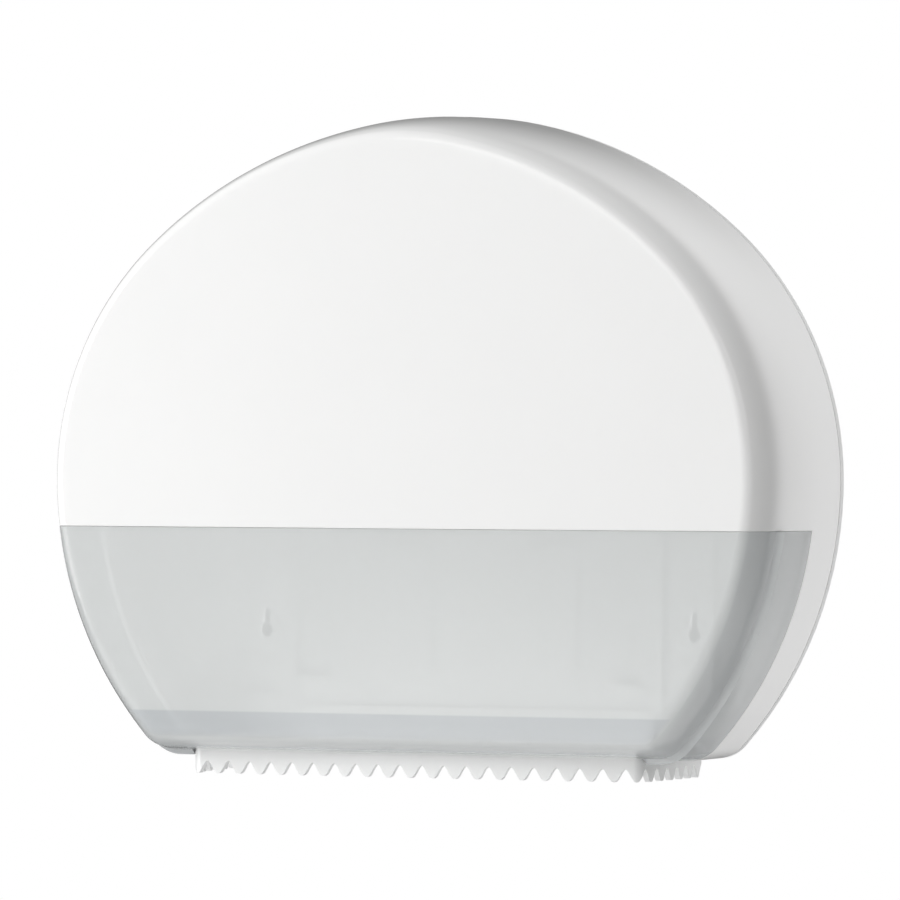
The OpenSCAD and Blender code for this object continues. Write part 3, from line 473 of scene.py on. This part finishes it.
def shell_keeps(column, depth):
    """Cells of the white shell: above the window or behind it, not the outlet or the lock."""
    if column == 0 and depth < OUTLET_FRONT:
        return False
    if column >= LOCK_I and lock_rear < depth < lock_front:
        return False
    return column >= CUT_I or depth < WINDOW_BACK


shell_rings = levels_from(RIM_D + RIM_GAP, [WINDOW_BACK - SEAM / 2, lock_rear, lock_front])
white_shell = new_piece(
    "white_shell", *shell_mesh(shell_rings, WINDOW_RISE + SEAM / 2, shell_keeps,
                               (CUT_I, RING_N - 2 * CUT_I)),
    white_gloss, "cover", "white_plastic", bevel=EDGE_BEVEL)
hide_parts("cover_shell")

# %% [markdown]
# ## Smoky plastic
# The window is a translucent plastic. Light goes straight through its thin wall, so it is made
# with transparency and no bending of light: each of its two faces lets a little more than half
# of what is behind through. Shade is painted into its colour for the dim inside seen through it:
# it is darker where the wall turns away from the front, and in a band along the bottom of the
# front. Both are painted tints, placed by the direction the wall faces and by height, so they
# stay put from any side.

# %% Smoky plastic
SMOKE_ALPHA = 0.45           # what one face of the window hides
LOW_SHADE_RISE, LOW_SHADE_SOFT = 26.0, 0.6   # top of the painted shade band, and half the height of its soft edge
# tints of painted shade: where the wall turns away, and in the band along the bottom
TURNED_SHADE_TINT, LOW_SHADE_TINT = (0.84, 0.845, 0.855), (0.805, 0.82, 0.845)
# Y of the wall's direction, -1 straight forward, where a painted shade tint starts and where it is
# full
TURNED_SHADE_FADE = (-0.94, -0.35)
FACING = (-0.7, -0.95)


def math_on(tree, operation, first, second):
    """One Math node on two values, each of them a socket or a number, and its result."""
    node = tree.nodes.new("ShaderNodeMath")
    node.operation = operation
    for socket, value in zip(node.inputs, (first, second)):
        if isinstance(value, bpy.types.NodeSocket):
            tree.links.new(value, socket)
        else:
            socket.default_value = value
    return node.outputs["Value"]


def smooth_step(tree, value, fade, low=0.0, high=1.0):
    """A value that runs smoothly from low to high while another crosses a fade (start, end)."""
    step = tree.nodes.new("ShaderNodeMapRange")
    step.interpolation_type = "SMOOTHSTEP"
    for key, number in (("From Min", fade[0]), ("From Max", fade[1]),
                        ("To Min", low), ("To Max", high)):
        step.inputs[key].default_value = number
    tree.links.new(value, step.inputs["Value"])
    return step.outputs["Result"]


def part_of(tree, output, axis, fade):
    """How far a coordinate of the piece has crossed a fade, as a smooth 0 to 1."""
    where = tree.nodes.new("ShaderNodeTexCoord")
    split = tree.nodes.new("ShaderNodeSeparateXYZ")
    tree.links.new(where.outputs[output], split.inputs["Vector"])
    return smooth_step(tree, split.outputs[axis], fade)


def darken(material, tint, share):
    """Multiply a finish's colour by a tint of painted shade, as far as the share is 1."""
    tree = material.node_tree
    shader = tree.nodes["Principled BSDF"]
    colour = shader.inputs["Base Color"].links[0].from_socket
    shade = tree.nodes.new("ShaderNodeMix")
    shade.data_type = "RGBA"
    shade.blend_type = "MULTIPLY"
    shade.inputs["B"].default_value = list(tint) + [1]
    tree.links.new(share, shade.inputs["Factor"])
    tree.links.new(colour, shade.inputs["A"])
    tree.links.new(shade.outputs["Result"], shader.inputs["Base Color"])


smoke = plastic("smoke window plastic", (0.93, 0.95, 0.945), 0.12, grain=500, relief=0.004,
                Alpha=SMOKE_ALPHA)
tints = smoke.node_tree
# painted shade: a darker band along the bottom of the window's forward-facing wall, below a set
# rise
low_shade_top = LOW_SHADE_RISE - KEY_RISE
low_shade_edge = ((low_shade_top + LOW_SHADE_SOFT) * MM, (low_shade_top - LOW_SHADE_SOFT) * MM)
in_low_shade = math_on(tints, "MULTIPLY", part_of(tints, "Normal", "Y", FACING),
                 part_of(tints, "Object", "Z", low_shade_edge))
# painted shade: the window is darker where its wall turns away from the front
darken(smoke, TURNED_SHADE_TINT, part_of(tints, "Normal", "Y", TURNED_SHADE_FADE))
darken(smoke, LOW_SHADE_TINT, in_low_shade)
print(smoke.name, "lets through", round((1 - SMOKE_ALPHA) ** 2, 2))

# %% [markdown]
# ## The smoky window
# The lower front of the cover is the window that lets the staff see how much paper is left. It
# is cut from the same rings as the shell, so that the two meet edge to edge, with a hair's
# breadth of seam. Its bottom is open over the outlet.

# %% Window


def window_keeps(column, depth):
    """Cells of the window: below its top edge, and only in front of the outlet."""
    return column < CUT_I and not (column == 0 and depth < OUTLET_FRONT)


window_rings = levels_from(WINDOW_BACK + SEAM / 2, [OUTLET_FRONT])
window = new_piece(
    "smoke_window", *shell_mesh(window_rings, WINDOW_RISE - SEAM / 2, window_keeps,
                                (RING_N - CUT_I, 2 * CUT_I)),
    smoke, "cover", "smoke_plastic", bevel=EDGE_BEVEL)
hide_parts("cover_window")

# %% [markdown]
# ## The tear skirt
# Paper is torn against the toothed skirt that hangs under the cover. It is swept along its path
# in thin slices, with the wave of the teeth at the bottom and the scalloped flange at the top.

# %% Sweep of the skirt
SKIRT_T, SKIRT_BEVEL = 3.5, 0.2
TOOTH_STEPS = 24             # slices in one tooth
TOOTH_H, TOOTH_POWER, TOOTH_DROP = 7.1, 1.24, 10.2
FLANGE_RISE, FLANGE_T, FLANGE_OUT, FLANGE_WAVE = 8.4, 1.2, 1.9, 1.1
SLICE_N = 6                  # corners of a slice


def skirt_at(s):
    """Point and outward direction at a distance along the skirt from its middle."""
    if s < FRONT_L:
        centre, radius, turn = front_c, SKIRT_FRONT_R, s / SKIRT_FRONT_R
    elif s < FRONT_L + CORNER_L:
        centre, radius, turn = corner_c, SKIRT_CORNER_R, FRONT_TURN + (s - FRONT_L) / SKIRT_CORNER_R
    else:
        centre, radius = flank_c, SKIRT_SIDE_R
        turn = SKIRT_LEAD + (s - FRONT_L - CORNER_L) / SKIRT_SIDE_R
    return centre + radius * outward(turn), outward(turn)


def skirt_slice(s):
    """Corners of one slice across the skirt, from the outer tooth edge round to the inner one."""
    place, normal = skirt_at(abs(s))
    phase = cos(2 * pi * s / PITCH)
    tip = -TOOTH_DROP + TOOTH_H * max(0.0, (1 - phase) / 2) ** TOOTH_POWER
    reach = FLANGE_OUT + FLANGE_WAVE * phase
    corners = ((0, tip), (0, FLANGE_RISE - FLANGE_T), (reach, FLANGE_RISE - FLANGE_T),
               (reach, FLANGE_RISE), (-SKIRT_T, FLANGE_RISE), (-SKIRT_T, tip))
    side = -1 if s < 0 else 1
    return [Vector((side * (place.x + out * normal.x), -(place.y + out * normal.y),
                    rise - KEY_RISE)) * MM for out, rise in corners]


slices = round(2 * HALF_PITCHES * TOOTH_STEPS)
step = 2 * HALF_L / slices
skirt_points = [p for i in range(slices + 1) for p in skirt_slice(-HALF_L + i * step)]
skirt_faces = [(SLICE_N * i + k, SLICE_N * (i + 1) + k,
                SLICE_N * (i + 1) + (k + 1) % SLICE_N, SLICE_N * i + (k + 1) % SLICE_N)
               for i in range(slices) for k in range(SLICE_N)]
skirt_faces += [tuple(range(SLICE_N)),
                tuple(SLICE_N * slices + k for k in reversed(range(SLICE_N)))]
skirt = new_piece("toothed_skirt", skirt_points, skirt_faces, white_satin, "cover",
                  "white_plastic", bevel=SKIRT_BEVEL)
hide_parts("tear_skirt")

# %% [markdown]
# ## Finishes for the other solids
# The remaining solids keep the shapes they came with and only get their finish: white plastic
# for the back plate and frame, grey plastic for the hubs, rubber washers, zinc-plated steel and
# a bright lock.

# %% Other finishes


def metal(name, colour, roughness, scratch=260.0):
    """A plated metal with fine, uneven polishing marks."""
    return plastic(name, colour, roughness, grain=scratch, relief=0.01, wander=0.1, Metallic=1.0)


grey_plastic = plastic("grey plastic", (0.30, 0.31, 0.32), 0.42, grain=1600, relief=0.03)
rubber = plastic("rubber", (0.03, 0.03, 0.032), 0.7, grain=2200, relief=0.04)
zinc = metal("zinc-plated steel", (0.62, 0.63, 0.66), 0.3)
bright = metal("bright plating", (0.80, 0.81, 0.83), 0.12)
FINISHES = {"white_plastic": white_satin, "grey_plastic": grey_plastic, "washer_rubber": rubber,
            "steel": zinc, "lock_metal": bright, "smoke_plastic": smoke}
slots = {row["node"]: row["material_slot"] for row in frame["record"]["subparts"]}
for node, solid in frame["nodes"].items():
    for spot in solid.material_slots:
        spot.material = FINISHES[slots[node]]
print("finished", len(slots), "solids")

# %% [markdown]
# ## Light and surroundings
# A pale studio. The camera sees plain white all round, and also through one clear surface.
# Through both faces of the window it sees the surround instead, so that the keyholes stay dim.
# Lighting and reflections see a surround that is nearly dark in front and at the sides, a soft
# ceiling, and a strong backdrop right behind the dispenser that fades out towards the left. The
# cover's right side mirrors that backdrop at a shallow angle, and its rounded edge mirrors the
# dim part, which draws the grey band round the right of the face.

# %% Surround
SIDES, BELOW, CEILING, BACKDROP = 0.05, 0.03, 0.64, 1.85
# Each part fades in over one coordinate of the ray's direction: Y into the wall, X right, Z up
BEHIND_FADE = (0.79, 0.85)
RIGHTWARD_FADE = (-0.4, 0.4)
DOWNWARD_FADE = (-0.02, -0.4)
UPWARD_FADE = (0.25, 0.9)
SEEN_THROUGH = 1.5           # the camera sees white through fewer clear surfaces than this
WHITE = (1, 1, 1, 1)

world = bpy.data.worlds.new("surround")
bpy.context.scene.world = world
world.use_nodes = True
sky = world.node_tree
direction = sky.nodes.new("ShaderNodeSeparateXYZ")
sky.links.new(sky.nodes.new("ShaderNodeTexCoord").outputs["Generated"], direction.inputs["Vector"])
behind = smooth_step(sky, direction.outputs["Y"], BEHIND_FADE)
rightward = smooth_step(sky, direction.outputs["X"], RIGHTWARD_FADE, 0.0, BACKDROP)
sides = smooth_step(sky, direction.outputs["Z"], DOWNWARD_FADE, SIDES, BELOW)
ceiling = smooth_step(sky, direction.outputs["Z"], UPWARD_FADE, 0.0, CEILING)
backdrop = math_on(sky, "MULTIPLY", behind, rightward)
strength = math_on(sky, "ADD", backdrop, math_on(sky, "ADD", sides, ceiling))
surround = sky.nodes["Background"]
surround.inputs["Color"].default_value = WHITE
sky.links.new(strength, surround.inputs["Strength"])
seen = add_node(sky, "ShaderNodeBackground", Color=WHITE, Strength=1.0)
path = sky.nodes.new("ShaderNodeLightPath")
limit = math_on(sky, "MULTIPLY", path.outputs["Is Camera Ray"], SEEN_THROUGH)
through = math_on(sky, "LESS_THAN", path.outputs["Transparent Depth"], limit)
choice = sky.nodes.new("ShaderNodeMixShader")
sky.links.new(through, choice.inputs["Fac"])
sky.links.new(surround.outputs["Background"], choice.inputs[1])
sky.links.new(seen.outputs["Background"], choice.inputs[2])
sky.links.new(choice.outputs["Shader"], sky.nodes["World Output"].inputs["Surface"])
print("surround from", BELOW, "to", BACKDROP)

# %% [markdown]
# ## Lamps
# Four rectangular lamps face the dispenser. A key light stands at the left, close enough to make
# the left of the face the brightest. A wide lamp in front fills the face and the window from a
# little below, another stands higher for the top, and a small weak one at the right lights the
# side from above.

# %% Lamps


def softbox(name, direction, distance, size, watts):
    """A rectangular lamp in this direction from the object, facing it."""
    lamp = bpy.data.lights.new(name, "AREA")
    lamp.shape = "RECTANGLE"
    lamp.size, lamp.size_y = size
    lamp.energy = watts
    holder = bpy.data.objects.new(name, lamp)
    bpy.context.scene.collection.objects.link(holder)
    away = Vector(direction).normalized()
    holder.location = AIM + away * distance
    holder.rotation_euler = (-away).to_track_quat("-Z", "Y").to_euler()
    print("lamp", name, watts, "W")


softbox("key", direction=(-0.88, -0.46, 0.08), distance=2.0, size=(1.0, 1.15), watts=26)
softbox("front", direction=(0.30, -0.94, -0.15), distance=3.0, size=(3.0, 2.0), watts=15)
softbox("above", direction=(0.10, -0.88, 0.45), distance=3.0, size=(3.0, 1.8), watts=34)
softbox("right", direction=(0.92, -0.02, 0.40), distance=3.0, size=(0.6, 1.1), watts=3)

# %% [markdown]
# ## Floor
# The dispenser hangs on a wall about a metre up, so the floor lies well below it. It is there
# for views from above. The camera sees it nearly as pale as the background, and its underside
# is clear, so that it never hides the dispenser from a low camera.

# %% Floor
FLOOR_Z, FLOOR_HALF, FLOOR_LIFT = -1.1, 2.5, 0.4
floor_mesh = bpy.data.meshes.new("floor")
floor_mesh.from_pydata([(-FLOOR_HALF, -FLOOR_HALF, FLOOR_Z), (FLOOR_HALF, -FLOOR_HALF, FLOOR_Z),
                        (FLOOR_HALF, FLOOR_HALF, FLOOR_Z), (-FLOOR_HALF, FLOOR_HALF, FLOOR_Z)],
                       [], [(0, 1, 2, 3)])
floor = bpy.data.objects.new("floor", floor_mesh)
bpy.context.scene.collection.objects.link(floor)
pale_floor = plastic("pale floor", (0.86, 0.86, 0.86), 0.6, grain=60, Emission_Color=WHITE)
floor_mesh.materials.append(pale_floor)
pale = pale_floor.node_tree
shader = pale.nodes["Principled BSDF"]
looking = pale.nodes.new("ShaderNodeLightPath")
pale.links.new(math_on(pale, "MULTIPLY", looking.outputs["Is Camera Ray"], FLOOR_LIFT),
               shader.inputs["Emission Strength"])
under = pale.nodes.new("ShaderNodeMixShader")
pale.links.new(pale.nodes.new("ShaderNodeNewGeometry").outputs["Backfacing"], under.inputs["Fac"])
pale.links.new(shader.outputs["BSDF"], under.inputs[1])
pale.links.new(pale.nodes.new("ShaderNodeBsdfTransparent").outputs["BSDF"], under.inputs[2])
pale.links.new(under.outputs["Shader"], pale.nodes["Material Output"].inputs["Surface"])
print("floor", -FLOOR_Z, "m down")

# %% [markdown]
# ## View settings
# Colours are shown as they are, without a film curve.

# %% View settings
bpy.context.scene.view_settings.view_transform = "Standard"
